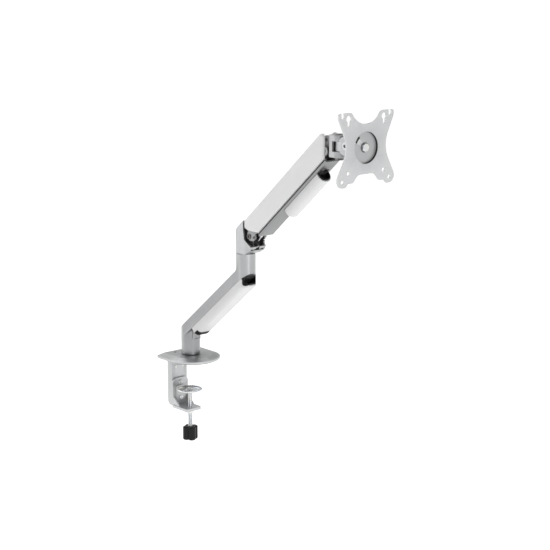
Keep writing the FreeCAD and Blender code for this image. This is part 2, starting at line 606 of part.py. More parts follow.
# ---- upper arm ----------------------------------------------------------------------------
def top_cover():
    """White shell over the upper arm: one top wall and two flanks, open below and at both ends."""
    w = ARM_HALF_WIDTH
    slope = math.tan(math.radians(UPPER_SLOPE))
    back = 171.6
    low = 259.7
    ridge_x, ridge_z = upper_arm_point(0, COVER_TOP)
    seam_x, seam_z = upper_arm_point(0, COVER_SEAM)
    back_top = ridge_z + (back - ridge_x) * slope
    flat_x = ridge_x + (COVER_HEAD_TOP - ridge_z) / slope
    front_low = seam_z + (COVER_HEAD_END - seam_x) * slope
    turn_x = seam_x + (low - seam_z) / slope
    corners = [(back, back_top, 2), (flat_x, COVER_HEAD_TOP, 12), (COVER_HEAD_END, COVER_HEAD_TOP, 6),
               (COVER_HEAD_END, front_low, 2), (turn_x, low, 4), (back + 10, low, 12), (back, low + 4, 5)]
    outer = side_plate(corners, -w, w)
    outer = rounded(outer, 5, lambda e: e.BoundBox.YLength < 0.1 and e.BoundBox.XLength > 100
                    and e.BoundBox.ZMax > COVER_HEAD_TOP - 14 and e.BoundBox.ZMin > 270)
    cavity = on_upper_arm(section_bar([(-w + COVER_WALL, -60), (w - COVER_WALL, -60),
                                       (w - COVER_WALL, COVER_TOP - COVER_WALL, 3.5),
                                       (-w + COVER_WALL, COVER_TOP - COVER_WALL, 3.5)], -60, 330))
    roof = block((300, 420), (-40, 40), (COVER_HEAD_TOP - COVER_WALL, 470))
    shell = outer.cut(cavity.cut(roof))
    head_room = block((342, 400), (-13.4, 13.4), (400, 470))
    return shell.cut(head_room)


def upper_frame():
    """Cast channel under the cover, with root plates at the elbow and pin bosses at the head."""
    floor = FRAME_FLOOR
    lip = COVER_SEAM - 1.0
    section = [(-14, floor, 0.8), (14, floor, 0.8), (17, floor + 3, 0.8), (17, lip), (14.4, lip), (14.4, 8),
               (11.6, 8), (11.6, floor + 2.8), (-11.6, floor + 2.8), (-11.6, 8), (-14.4, 8), (-14.4, lip),
               (-17, lip), (-17, floor + 3, 0.8)]
    channel = section_bar(section, 27, 244)
    shorten = side_plate([(20, 20), (20, -9.5), (60, 2), (60, 20)], -20, 20)
    channel = channel.cut(shorten)
    bulkhead = block((222, 226), (-11.7, 11.7), (floor + 2.7, 5))
    boss = rod(8, (UPPER_LENGTH, 11.6, 0), (UPPER_LENGTH, 14.4, 0))
    head_cheek = side_plate([(236, -8), (UPPER_LENGTH, -8), (UPPER_LENGTH, 8), (236, 8)], 11.6, 14.4)
    root = side_plate([(-3, -7.5, 5), (9, -14.8, 6), (15.5, -5.2), (27, -10.3), (44, -10.3), (60, 3), (60, 8),
                       (20, 14, 8), (4, 8, 4), (-6, 7, 6)], 9.0, 12.0)
    frame = joined(channel, bulkhead, mirrored_join(boss), mirrored_join(head_cheek), mirrored_join(root))
    holes = [rod(PIN_RADIUS + FIXED_GAP, (0, -20, 0), (0, 20, 0)),
             rod(PIN_RADIUS + FIXED_GAP, (UPPER_LENGTH, -20, 0), (UPPER_LENGTH, 20, 0)),
             rod(1.5 + FIXED_GAP, (10, -20, -9), (10, 20, -9)),
             rod(SMALL_PIN_RADIUS + RUNNING_GAP, (220, 0, ADJUSTER_LINE), (228, 0, ADJUSTER_LINE))]
    holes += [block((x, x + 8), (-9, 9), (floor - 1, floor + 4)) for x in (128, 186)]
    holes.append(block((CLIP_END + 1, CLIP_END + 10), (-8, 8), (floor - 1, floor + 4)))
    return on_upper_arm(frame.cut(holes))


def root_screws():
    """Small screws in the root plates, below and in front of the main pin."""
    screw = joined(rod(1.5, (10, 9.0, -9), (10, 12, -9)), rod(2.6, (10, 12, -9), (10, 13.1, -9)))
    screw = screw.cut(hexagon_socket(1, 1.8, (10, 12.5, -9), (0, 1, 0)))
    return on_upper_arm(both_sides(screw))


def levelling_link():
    """Bar that keeps the head upright; it runs above the main pivots."""
    start_x, start_z = LIFT_X, LIFT_Z + LINK_RISE
    slope = math.radians(UPPER_SLOPE)
    bar = joined(block((0, UPPER_LENGTH), (-4, 4), (-3.6, 3.6)), rod(5, (0, -4, 0), (0, 4, 0)),
                 rod(5, (UPPER_LENGTH, -4, 0), (UPPER_LENGTH, 4, 0)))
    slot = block((30, UPPER_LENGTH - 30), (-5, 5), (-1.4, 1.4))
    bar = bar.cut([slot, rod(SMALL_PIN_RADIUS + RUNNING_GAP, (0, -5, 0), (0, 5, 0)),
                   rod(OPEN_PIVOT_RADIUS, (UPPER_LENGTH, -5, 0), (UPPER_LENGTH, 5, 0))])
    moved = bar.copy()
    moved.Placement = FreeCAD.Placement(Vector(start_x, 0, start_z),
                                        FreeCAD.Rotation(ACROSS, -math.degrees(slope)))
    return moved


# The spring's axis runs from its foot on the yoke to its head on the arm.
def spring_foot_on_arm():
    slope = math.radians(UPPER_SLOPE)
    dx, dz = SPRING_X - LIFT_X, SPRING_Z - LIFT_Z
    return (dx * math.cos(slope) + dz * math.sin(slope), -dx * math.sin(slope) + dz * math.cos(slope))


FOOT_ALONG, FOOT_ABOVE = spring_foot_on_arm()
SPRING_TILT = math.degrees(math.atan2(-FOOT_ABOVE, SPRING_HEAD_ALONG - FOOT_ALONG))
SPRING_LENGTH = math.hypot(SPRING_HEAD_ALONG - FOOT_ALONG, FOOT_ABOVE)


def on_spring(shape):
    """From the spring's own frame: origin at its foot, +X towards its head."""
    return at_slope(shape, UPPER_SLOPE + SPRING_TILT, SPRING_X, SPRING_Z)


def spring_tube():
    start = TUBE_START
    end = SPRING_LENGTH - 9
    tube = rod(TUBE_RADIUS, (start, 0, 0), (end, 0, 0))
    tube = rounded(tube, 1.5, lambda e: e.BoundBox.XLength < 0.1)
    eye = joined(block((end - 1, SPRING_LENGTH), (-3.5, 3.5), (-5, 5)),
                 rod(5, (SPRING_LENGTH, -3.5, 0), (SPRING_LENGTH, 3.5, 0)))
    tube = joined(tube, eye)
    return on_spring(tube.cut([rod(6.4, (start + 6, 0, 0), (end - 6, 0, 0)),
                               rod(ROD_RADIUS + 0.35, (start - 1, 0, 0), (start + 8, 0, 0)),
                               cross_bore(SMALL_PIN_RADIUS + FIXED_GAP, SPRING_LENGTH, 0, 5)]))


def spring_rod():
    """Piston rod with its piston; the piston runs inside the tube."""
    return on_spring(joined(rod(ROD_RADIUS, (FORK_FRONT + 0.02, 0, 0), (TUBE_START + 44, 0, 0)),
                            rod(5.9, (TUBE_START + 38, 0, 0), (TUBE_START + 44, 0, 0))))


def rod_end():
    """Eye on the rod.  Its hole is open sideways, so that it clears the foot pin over the travel."""
    plate = side_plate([(-5.5, -8.2, 3), (5.5, -8.2, 3), (5.5, 6, 3), (-5.5, 6, 3)], -2, 2)
    neck = rod(ROD_RADIUS, (4, 0, 0), (FORK_FRONT, 0, 0))
    opening = side_plate([(-2.9, -5.6, 2.8), (2.9, -5.6, 2.8), (2.9, 3.4, 2.8), (-2.9, 3.4, 2.8)], -4, 4)
    return on_spring(joined(plate, neck).cut(opening))


def spring_anchor():
    """Block that carries the spring's head and is moved along the arm by the adjusting screw."""
    a = SPRING_HEAD_ALONG
    body = block((a - 7, a + 14), (-11, 11), (-13.2, 6))
    body = rounded(body, 2, lambda e: e.BoundBox.YLength > 20)
    holes = [block((a - 10, a + 7), (-4.2, 4.2), (-8, 10)),
             rod(SMALL_PIN_RADIUS + FIXED_GAP, (a, -12, 0), (a, 12, 0)),
             rod(SMALL_PIN_RADIUS + RUNNING_GAP, (a + 6, 0, ADJUSTER_LINE), (a + 20, 0, ADJUSTER_LINE)),
             block((a - 10, a + 7), (-4.2, 4.2), (ADJUSTER_LINE - 3.2, -7))]
    return on_upper_arm(body.cut(holes))


def spring_head_pin():
    a = SPRING_HEAD_ALONG
    return on_upper_arm(rod(SMALL_PIN_RADIUS, (a, -10.9, 0), (a, 10.9, 0)))


def adjusting_screw():
    a = SPRING_HEAD_ALONG
    shank = rod(SMALL_PIN_RADIUS, (a + 7.5, 0, ADJUSTER_LINE), (226.2, 0, ADJUSTER_LINE))
    head = rod(4.4, (226.2, 0, ADJUSTER_LINE), (231, 0, ADJUSTER_LINE))
    screw = joined(shank, head).cut(hexagon_socket(3, 5, (228.5, 0, ADJUSTER_LINE), (1, 0, 0)))
    return on_upper_arm(screw)


def adjuster_clip():
    """Retaining ring that keeps the adjusting screw in the bulkhead."""
    return on_upper_arm(ring(5, SMALL_PIN_RADIUS + FIXED_GAP, (220.2, 0, ADJUSTER_LINE), (221.7, 0, ADJUSTER_LINE)))


def cable_clip_cover():
    """White hook-shaped cover under the arm, closed and rounded at its lower end."""
    top = FRAME_FLOOR - BODY_GAP
    half, deep, wall = CLIP_HALF_WIDTH, CLIP_DEPTH, 1.8
    outer = section_bar(cover_section(half, top - deep, top, 12), CLIP_START, CLIP_END)
    outer = rounded(outer, 7, lambda e: e.BoundBox.XLength < 0.1 and e.BoundBox.XMin < CLIP_START + 1
                    and (e.BoundBox.ZMax < top - 0.1 or e.BoundBox.ZLength > 2))
    inner = section_bar(cover_section(half - wall, top - deep + wall, top + 1, 10.2),
                        CLIP_START + wall + 2, CLIP_END + 10)
    hooks = [block((x + 1, x + 7), (-8.5, -6.8), (top - deep + 3.2, FRAME_FLOOR + 3.6))
             for x in (128, 186)]
    hooks += [h.mirror(Vector(0, 0, 0), ACROSS) for h in hooks]
    return on_upper_arm(joined(outer.cut(inner), *hooks))


def clip_mouth_liner():
    """Dark slit grommet in the open upper end of the cable clip, standing a little proud of it."""
    top = FRAME_FLOOR - BODY_GAP
    half, deep = CLIP_HALF_WIDTH - 1.9, CLIP_DEPTH - 1.9
    outer = section_bar(cover_section(half, top - deep, top - 0.1, 10.1), 196, CLIP_END + 2.5)
    cup = section_bar(cover_section(half - 1.5, top - deep + 1.5, top + 1, 8.6), CLIP_END - 5, CLIP_END + 5)
    tail = section_bar(cover_section(half - 1.5, top - deep + 1.5, top + 1, 8.6), 190, CLIP_END - 6.5)
    slit = block((190, 220), (-1.0, 1.0), (top - deep + 2.5, top + 1))
    return on_upper_arm(outer.cut([cup, tail, slit]))


# ---- head ---------------------------------------------------------------------------------
def pan_plan(radius, back, z_low, z_high):
    return joined(rod(radius, (PAN_X, 0, z_low), (PAN_X, 0, z_high)),
                  block((back, PAN_X), (-radius, radius), (z_low, z_high)))


def head_bracket():
    """Held upright by the arm and the link; its two flanges carry the pan bolt."""
    back = 377.0
    body = pan_plan(PAN_RADIUS, back, HEAD_LOW, HEAD_HIGH)
    body = rounded(body, 5.0, lambda e: e.BoundBox.ZLength > 30 and e.BoundBox.XMax < back + 0.1)
    body = rounded(body, 1.0, lambda e: e.BoundBox.ZLength < 0.1)
    body = body.cut([rod(9.3, (PAN_X, 0, TONGUE_LOW - 0.6), (PAN_X, 0, TONGUE_HIGH + 0.6)),
                     block((PAN_X - 3.2, PAN_X + 20), (-20, 20), (TONGUE_LOW - 0.6, TONGUE_HIGH + 0.6))])
    cheek = joined(rod(7, (HEAD_X, 4.5, HEAD_Z), (HEAD_X, 9.0, HEAD_Z)),
                   rod(7, (HEAD_X, 4.5, HEAD_Z + LINK_RISE), (HEAD_X, 9.0, HEAD_Z + LINK_RISE)),
                   block((HEAD_X - 7, HEAD_X), (4.5, 9.0), (HEAD_Z, HEAD_Z + LINK_RISE)),
                   block((HEAD_X, back + 1), (4.5, 9.0), (HEAD_Z - 7, HEAD_Z + LINK_RISE + 7)))
    bracket = joined(body, mirrored_join(cheek))
    holes = [rod(PIN_RADIUS + RUNNING_GAP, (HEAD_X, -10, HEAD_Z), (HEAD_X, 10, HEAD_Z)),
             cross_bore(SMALL_PIN_RADIUS + FIXED_GAP, HEAD_X, HEAD_Z + LINK_RISE, 10),
             rod(PIN_RADIUS + FIXED_GAP, (PAN_X, 0, HEAD_LOW - 1), (PAN_X, 0, HEAD_HIGH + 1)),
             rod(7.4, (PAN_X, 0, HEAD_HIGH - 2.6), (PAN_X, 0, HEAD_HIGH + 1))]
    return bracket.cut(holes)


def head_washers():
    return both_sides(ring(6.5, PIN_RADIUS + RUNNING_GAP, (HEAD_X, 9.1, HEAD_Z), (HEAD_X, 11.5, HEAD_Z)))


def pan_bolt():
    head = rod(7, (PAN_X, 0, HEAD_HIGH - 2.55), (PAN_X, 0, HEAD_HIGH + 0.3))
    head = head.makeFillet(1.2, [e for e in head.Edges if e.BoundBox.ZMin > HEAD_HIGH])
    bolt = joined(head, rod(PIN_RADIUS, (PAN_X, 0, HEAD_LOW - 4.5), (PAN_X, 0, HEAD_HIGH - 2)))
    return bolt.cut(hexagon_socket(4, 5, (PAN_X, 0, HEAD_HIGH - 2.2), (0, 0, 1)))


def pan_nut():
    nut = hexagon_socket(4.2, 13, (PAN_X, 0, HEAD_LOW - 4.25), (0, 0, 1))
    return nut.cut(rod(PIN_RADIUS + FIXED_GAP, (PAN_X, 0, HEAD_LOW - 6), (PAN_X, 0, HEAD_LOW + 1)))


def pan_washers():
    return Part.Compound([ring(7.9, PIN_RADIUS + RUNNING_GAP, (PAN_X, 0, z), (PAN_X, 0, z + 0.5))
                          for z in (414.75, 430.75)])


def tilt_knuckle():
    """Turns on the pan bolt; its two round ears carry the tilt bolt."""
    ears = rod(TILT_DISC_RADIUS, (TILT_X, -14.5, TILT_Z), (TILT_X, 14.5, TILT_Z))
    ears = rounded(ears, 0.8, lambda e: True)
    ears = ears.common(block((PAN_X + 15, 450), (-20, 20), (400, 450)))
    slot = block((PAN_X + 17.1, 450), (-8.75, 8.75), (400, 450))
    low, high = TONGUE_LOW, TONGUE_HIGH
    tongue = joined(rod(6.5, (PAN_X, 0, low), (PAN_X, 0, high)),
                    block((PAN_X, PAN_X + 15.5), (-8, 8), (low, high)))
    knuckle = joined(ears.cut(slot), tongue)
    holes = [rod(PIN_RADIUS + RUNNING_GAP, (PAN_X, 0, 400), (PAN_X, 0, 450)),
             rod(PIN_RADIUS + FIXED_GAP, (TILT_X, -20, TILT_Z), (TILT_X, 20, TILT_Z)),
             rod(6.6, (TILT_X, -20, TILT_Z), (TILT_X, -12, TILT_Z)),
             rod(6.6, (TILT_X, 12, TILT_Z), (TILT_X, 20, TILT_Z))]
    return knuckle.cut(holes)


def pan_sleeve():
    """Dark friction sleeve around the back of the knuckle's tongue."""
    sleeve = ring(8, 6.5 + FIXED_GAP, (PAN_X, 0, TONGUE_LOW + 0.1), (PAN_X, 0, TONGUE_HIGH - 0.1))
    return sleeve.cut(block((PAN_X - 0.1, 420), (-9, 9), (400, 450)))


def tilt_bolt():
    head = rod(6.5, (TILT_X, -14.4, TILT_Z), (TILT_X, -12.05, TILT_Z))
    bolt = joined(head, rod(PIN_RADIUS, (TILT_X, -13, TILT_Z), (TILT_X, 14.2, TILT_Z)))
    return bolt.cut(hexagon_socket(3, 5, (TILT_X, -15, TILT_Z), (0, 1, 0)))


def tilt_nut():
    nut = rod(6.5, (TILT_X, 12.05, TILT_Z), (TILT_X, 14.4, TILT_Z))
    return nut.cut(rod(PIN_RADIUS + FIXED_GAP, (TILT_X, 10, TILT_Z), (TILT_X, 20, TILT_Z)))


def tilt_washers():
    return both_sides(ring(9, PIN_RADIUS + RUNNING_GAP, (TILT_X, 8.25, TILT_Z), (TILT_X, 8.65, TILT_Z)))


def tilt_carrier():
    """Barrel between the ears, with the round plate that the monitor plate turns on."""
    barrel = rod(9.5, (TILT_X, -8.2, TILT_Z), (TILT_X, 8.2, TILT_Z))
    neck = block((TILT_X, 436), (-8.2, 8.2), (TILT_Z - 9, TILT_Z + 9))
    rear = Part.makeCone(13, 22, 3.8, Vector(433.2, 0, FACE_Z), FORWARD)
    disc = rod(23, (436.8, 0, FACE_Z), (DISH_BACK - 1.0, 0, FACE_Z))
    disc = rounded(disc, 1.2, lambda e: e.BoundBox.XLength < 0.1)
    carrier = joined(barrel, neck, rear, disc)
    return carrier.cut([rod(PIN_RADIUS + RUNNING_GAP, (TILT_X, -10, TILT_Z), (TILT_X, 10, TILT_Z)),
                        rod(PIN_RADIUS + FIXED_GAP, (427, 0, FACE_Z), (450, 0, FACE_Z))])


def turn_washer():
    """Friction washer between the carrier and the dish of the monitor plate."""
    return ring(21, PIN_RADIUS + RUNNING_GAP, (DISH_BACK - 0.9, 0, FACE_Z), (DISH_BACK - 0.1, 0, FACE_Z))


def front_washer():
    x = FACE_X - DISH_DEPTH
    return ring(7.9, PIN_RADIUS + RUNNING_GAP, (x + 0.1, 0, FACE_Z), (x + 0.8, 0, FACE_Z))


def turn_bolt():
    """Hexagon bolt that the monitor plate turns on."""
    x = FACE_X - DISH_DEPTH + 0.9
    head = hexagon_socket(3, 12.6, (x, 0, FACE_Z), (1, 0, 0))
    chamfer = Part.makeCone(9, 5.9, 3.1, Vector(x, 0, FACE_Z), FORWARD)
    return joined(head.common(chamfer), rod(PIN_RADIUS, (428, 0, FACE_Z), (x + 1, 0, FACE_Z)))


def vesa_outline():
    """Left half's corners from the top middle down to the bottom, as (y, z, radius), then the right half's."""
    top = (0, 6.4, 34.5)
    half = [(31, 56, 5), (58.5, 56, 3.5), (58.5, 47.5, 6), (37, 0.5, 45), (62.5, -47.5, 10), (56, -59, 9),
            (43, -59, 5), (38, -53.2, 3), (27.5, -53.2, 4.5), (17, -41, 13)]
    return [top] + half + [(-y, z, r) for y, z, r in reversed(half)]


def vesa_plate():
    """Stamped plate with both hole patterns, open and keyhole slots at the top and a central dish."""
    back = FACE_X - VESA_THICKNESS
    corners = [(y, FACE_Z + z, r) for y, z, r in vesa_outline()]
    sheet = section_bar(corners, back, FACE_X)
    dish = Part.makeCone(DISH_RADIUS + 1.2, DISH_RADIUS + 2.2, DISH_DEPTH + 0.5,
                         Vector(DISH_BACK, 0, FACE_Z), FORWARD)
    plate = joined(sheet, dish)
    hollow = Part.makeCone(DISH_RADIUS - 0.8, DISH_RADIUS, DISH_DEPTH + 0.01,
                           Vector(FACE_X - DISH_DEPTH, 0, FACE_Z), FORWARD)
    large, small = LARGE_PATTERN / 2, SMALL_PATTERN / 2
    x = (DISH_BACK - 1, FACE_X + 1)
    r = MOUNT_HOLE_RADIUS
    holes = [hollow, rod(PIN_RADIUS + RUNNING_GAP, (x[0], 0, FACE_Z), (x[1], 0, FACE_Z))]
    for side in (-1, 1):
        for half in (large, small):
            holes.append(rod(r, (x[0], side * half, FACE_Z - half), (x[1], side * half, FACE_Z - half)))
        y = side * large
        wide = OPEN_SLOT_HALF_WIDTH
        holes.append(rod(wide, (x[0], y, FACE_Z + large), (x[1], y, FACE_Z + large)))
        holes.append(block(x, (y - wide, y + wide), (FACE_Z + large, FACE_Z + 70)))
        y = side * small
        rise = FACE_Z + small + KEYHOLE_RISE
        wide = KEYHOLE_HALF_WIDTH
        holes.append(rod(wide, (x[0], y, FACE_Z + small), (x[1], y, FACE_Z + small)))
        holes.append(block(x, (y - wide, y + wide), (FACE_Z + small, rise)))
        holes.append(rod(KEYHOLE_RADIUS, (x[0], y, rise), (x[1], y, rise)))
    holes.append(arc_slot(19.8, 2.0, 122, 156, x))
    return plate.cut(holes)


def arc_slot(radius, half_width, start, end, x):
    """Curved slot about the turning axis, between two angles from +Y."""
    def spot(r, angle):
        a = math.radians(angle)
        return Vector(x[0], r * math.cos(a), FACE_Z + r * math.sin(a))
    middle = (start + end) / 2
    outer, inner = radius + half_width, radius - half_width
    edges = [Part.Arc(spot(outer, start), spot(outer, middle), spot(outer, end)).toShape(),
             Part.LineSegment(spot(outer, end), spot(inner, end)).toShape(),
             Part.Arc(spot(inner, end), spot(inner, middle), spot(inner, start)).toShape(),
             Part.LineSegment(spot(inner, start), spot(outer, start)).toShape()]
    return Part.Face(Part.Wire(edges)).extrude(FORWARD * (x[1] - x[0]))


# ---- all nodes ----------------------------------------------------------------------------
NODES = {
    "base_plate": base_plate(),
    "desk_pad": desk_pad(),
    "base_shaft": base_shaft(),
    "base_shaft_screw": base_shaft_screw(),
    "flange_screws": flange_screws(),
    "stop_screw": stop_screw(),
    "base_bush": swivel_bush(0, SLEEVE_FOOT - 0.75, BASE_SHAFT_TOP - 1, SLEEVE_FOOT - 0.75),
    "upper_bracket": upper_bracket(),
    "lower_bracket": lower_bracket(),
    "foot_nut": foot_nut(),
    "bracket_screws": bracket_screws(),
    "edge_screws": edge_screws(),
    "spindle": spindle(),
    "knob": knob(),
    "clamp_disc": clamp_disc(),
    "disc_retainer": disc_retainer(),
    "lower_arm": lower_arm(),
    "lower_cable_cover": lower_cable_cover(),
    "lower_cable_guide": lower_cable_guide(),
    "upper_cable_guide": upper_cable_guide(),
    "elbow_bush": swivel_bush(ELBOW_X, ELBOW_SHAFT_LOW + 1, SLEEVE_HEAD + 0.75, SLEEVE_HEAD + 0.05),
    "elbow_yoke": elbow_yoke(),
    "elbow_shaft": elbow_shaft(),
    "elbow_shaft_screw": elbow_shaft_screw(),
    "lift_pin": cross_pin(PIN_RADIUS, LIFT_X, LIFT_Z, 12.02, 4.6, 1.2),
    "lift_washers": lift_washers(),
    "link_foot_pin": cross_pin(SMALL_PIN_RADIUS, LIFT_X, LIFT_Z + LINK_RISE, 8.4, 0, 0),
    "spring_foot_pin": cross_pin(SPRING_PIN_RADIUS, SPRING_X, SPRING_Z, 8.4, 0, 0),
    "pivot_guards": pivot_guards(),
    "top_cover": top_cover(),
    "upper_frame": upper_frame(),
    "root_screws": root_screws(),
    "levelling_link": levelling_link(),
    "spring_tube": spring_tube(),
    "spring_rod": spring_rod(),
    "rod_end": rod_end(),
    "spring_anchor": spring_anchor(),
    "spring_head_pin": spring_head_pin(),
    "adjusting_screw": adjusting_screw(),
    "adjuster_clip": adjuster_clip(),
    "cable_clip_cover": cable_clip_cover(),
    "clip_mouth_liner": clip_mouth_liner(),
    "head_pin": cross_pin(PIN_RADIUS, HEAD_X, HEAD_Z, 14.4, 0, 0),
    "head_washers": head_washers(),
    "link_head_pin": cross_pin(SMALL_PIN_RADIUS, HEAD_X, HEAD_Z + LINK_RISE, 9.0, 0, 0),
    "head_bracket": head_bracket(),
    "pan_bolt": pan_bolt(),
    "pan_nut": pan_nut(),
    "pan_washers": pan_washers(),
    "tilt_knuckle": tilt_knuckle(),
    "pan_sleeve": pan_sleeve(),
    "tilt_bolt": tilt_bolt(),
    "tilt_nut": tilt_nut(),
    "tilt_washers": tilt_washers(),
    "tilt_carrier": tilt_carrier(),
    "turn_bolt": turn_bolt(),
    "turn_washer": turn_washer(),
    "front_washer": front_washer(),
    "vesa_plate": vesa_plate(),
}

os.makedirs("parts", exist_ok=True)
for name, shape in NODES.items():
    solids = shape.Solids
    if not solids or not all(s.isClosed() and s.isValid() and s.Volume > 0 for s in solids):
        print("check", name, len(solids), shape.isValid())
    whole = solids[0] if len(solids) == 1 else Part.Compound(solids)
    whole.exportStep(f"parts/{name}.step")
    box = whole.BoundBox
    print(f"{name}: {len(solids)} solid(s), {whole.Volume / 1000:.1f} cm3, "
          f"x {box.XMin:.1f} {box.XMax:.1f}, y {box.YMin:.1f} {box.YMax:.1f}, z {box.ZMin:.1f} {box.ZMax:.1f}")
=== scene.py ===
import json
import math

import bpy
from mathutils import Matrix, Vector


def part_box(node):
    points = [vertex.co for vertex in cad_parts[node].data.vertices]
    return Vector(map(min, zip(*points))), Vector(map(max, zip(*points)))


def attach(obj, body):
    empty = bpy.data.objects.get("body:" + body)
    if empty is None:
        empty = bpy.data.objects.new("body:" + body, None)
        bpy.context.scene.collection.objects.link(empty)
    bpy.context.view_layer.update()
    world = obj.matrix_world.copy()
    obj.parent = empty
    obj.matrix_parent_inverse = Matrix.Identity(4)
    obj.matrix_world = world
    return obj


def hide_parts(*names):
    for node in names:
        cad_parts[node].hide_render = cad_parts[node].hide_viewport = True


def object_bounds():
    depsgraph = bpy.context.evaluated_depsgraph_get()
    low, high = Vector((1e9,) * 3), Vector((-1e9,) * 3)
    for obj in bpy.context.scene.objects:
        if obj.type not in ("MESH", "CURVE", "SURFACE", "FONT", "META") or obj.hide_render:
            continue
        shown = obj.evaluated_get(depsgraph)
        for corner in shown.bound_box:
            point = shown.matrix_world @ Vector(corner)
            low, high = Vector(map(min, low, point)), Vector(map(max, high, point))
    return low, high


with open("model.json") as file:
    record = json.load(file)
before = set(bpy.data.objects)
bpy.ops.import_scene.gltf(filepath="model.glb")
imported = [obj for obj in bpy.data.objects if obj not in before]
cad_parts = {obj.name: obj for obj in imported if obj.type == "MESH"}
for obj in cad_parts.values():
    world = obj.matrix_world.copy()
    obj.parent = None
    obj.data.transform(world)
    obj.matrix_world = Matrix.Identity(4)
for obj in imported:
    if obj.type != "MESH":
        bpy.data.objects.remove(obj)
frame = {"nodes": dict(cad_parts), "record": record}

CAD_LOW, CAD_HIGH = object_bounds()
MM = 0.001
LIP_DEPTH = 13.0 * MM            # channel's upper edge, below the line through its two pivots
# Width of the painted shadow on the channel along the white cover's lower edge
SEAM_SHADOW_WIDTH = 1.3 * MM
# Inner and outer radii of the painted shade in the corner round the plate's pressed dish
DISH_CORNER = 24.0 * MM
DISH_RIM = 25.1 * MM
DISH_CORNER_DEPTH = 0.6 * MM     # behind the plate's face, where the painted shade in the corner is full
SOFT_EDGE = 0.35 * MM            # radius that the shading gives to sharp edges
CAMERA_PLACE = (2.2294, -1.7070, 0.7408)
CAMERA_AZIMUTH = math.radians(49.45)
CAMERA_DOWN = math.radians(11.84)
CAMERA_LENS = 104.7
SENSOR_WIDTH = 36.0
FLOOR_GLOW = 0.58
FLOOR_HALF_SIZE = 40.0
FLOOR_GAP = 1 * MM               # between the floor and the grip at its lowest
WALL_STRENGTH = 0.95
LIGHT_TARGET = Vector((0.2, 0.0, 0.25))
THREAD_PITCH = 1.25 * MM
THREAD_DEPTH = 0.55 * MM
THREAD_SEGMENTS = 28
ROWS_PER_PITCH = 5
TIP_RADIUS = 2.5 * MM
TIP_LENGTH = 4.8 * MM
TIP_CHAMFER = 0.3 * MM
# Colour of the painted shadow in the gap under the white cover
SEAM_SHADOW_BLACK = (0.02, 0.02, 0.021)


# ---- node helpers -------------------------------------------------------------------------
def new_material(name):
    material = bpy.data.materials.new(name)
    material.use_nodes = True
    tree = material.node_tree
    return material, tree, tree.nodes["Principled BSDF"]


def noise(tree, scale, detail=4.0, roughness=0.55):
    """Noise in the object's own metres."""
    place = tree.nodes.new("ShaderNodeTexCoord")
    node = tree.nodes.new("ShaderNodeTexNoise")
    node.inputs["Scale"].default_value = scale
    node.inputs["Detail"].default_value = detail
    node.inputs["Roughness"].default_value = roughness
    tree.links.new(place.outputs["Object"], node.inputs["Vector"])
    return node.outputs["Fac"]


def ramp(tree, value, stops):
    """Colour ramp with (position, colour) stops."""
    node = tree.nodes.new("ShaderNodeValToRGB")
    elements = node.color_ramp.elements
    while len(elements) < len(stops):
        elements.new(0.5)
    for element, (position, colour) in zip(elements, stops):
        element.position = position
        element.color = (*colour, 1.0)
    tree.links.new(value, node.inputs["Fac"])
    return node.outputs["Color"]


def spread(tree, value, low, high, start=0.0, end=1.0):
    """Value in start to end, mapped to low to high and held there beyond both ends."""
    node = tree.nodes.new("ShaderNodeMapRange")
    node.inputs["From Min"].default_value = start
    node.inputs["From Max"].default_value = end
    node.inputs["To Min"].default_value = low
    node.inputs["To Max"].default_value = high
    tree.links.new(value, node.inputs["Value"])
    return node.outputs["Result"]


def mix_colour(tree, factor, first, second, blend="MIX"):
    """Colour between first and second, each a colour or a socket."""
    node = tree.nodes.new("ShaderNodeMix")
    node.data_type = "RGBA"
    node.blend_type = blend
    for key, value in (("Factor", factor), ("A", first), ("B", second)):
        socket = node.inputs[key]
        if isinstance(value, (int, float)):
            socket.default_value = value
        elif isinstance(value, tuple):
            socket.default_value = (*value, 1.0)
        else:
            tree.links.new(value, socket)
    return node.outputs["Result"]


def bump(tree, shader, height, strength, distance):
    """Fine relief from a height, over edges that look slightly rounded."""
    soft = tree.nodes.new("ShaderNodeBevel")
    soft.samples = 4
    soft.inputs["Radius"].default_value = SOFT_EDGE
    node = tree.nodes.new("ShaderNodeBump")
    node.inputs["Strength"].default_value = strength
    node.inputs["Distance"].default_value = distance
    tree.links.new(height, node.inputs["Height"])
    tree.links.new(soft.outputs["Normal"], node.inputs["Normal"])
    tree.links.new(node.outputs["Normal"], shader.inputs["Normal"])


def vector_math(tree, operation, first, second=None):
    """Vector node on a socket and, where the operation takes two, a constant."""
    node = tree.nodes.new("ShaderNodeVectorMath")
    node.operation = operation
    tree.links.new(first, node.inputs[0])
    if second is not None:
        node.inputs[1].default_value = second
    return node


def paint_shade(tree, shader, shade_band, colour):
    """Paints a colour over the shader's base colour where the band is one; used for painted shade.
    """
    socket = shader.inputs["Base Color"]
    coat = socket.links[0].from_socket
    tree.links.new(mix_colour(tree, shade_band, coat, colour), socket)


def multiply(tree, first, second):
    node = tree.nodes.new("ShaderNodeMath")
    node.operation = "MULTIPLY"
    tree.links.new(first, node.inputs[0])
    tree.links.new(second, node.inputs[1])
    return node.outputs["Value"]


def edge_wear(tree, low=0.53, high=0.62):
    """One where the surface is sharply convex, so that edges show a little wear."""
    geometry = tree.nodes.new("ShaderNodeNewGeometry")
    return spread(tree, geometry.outputs["Pointiness"], 0.0, 1.0, low, high)


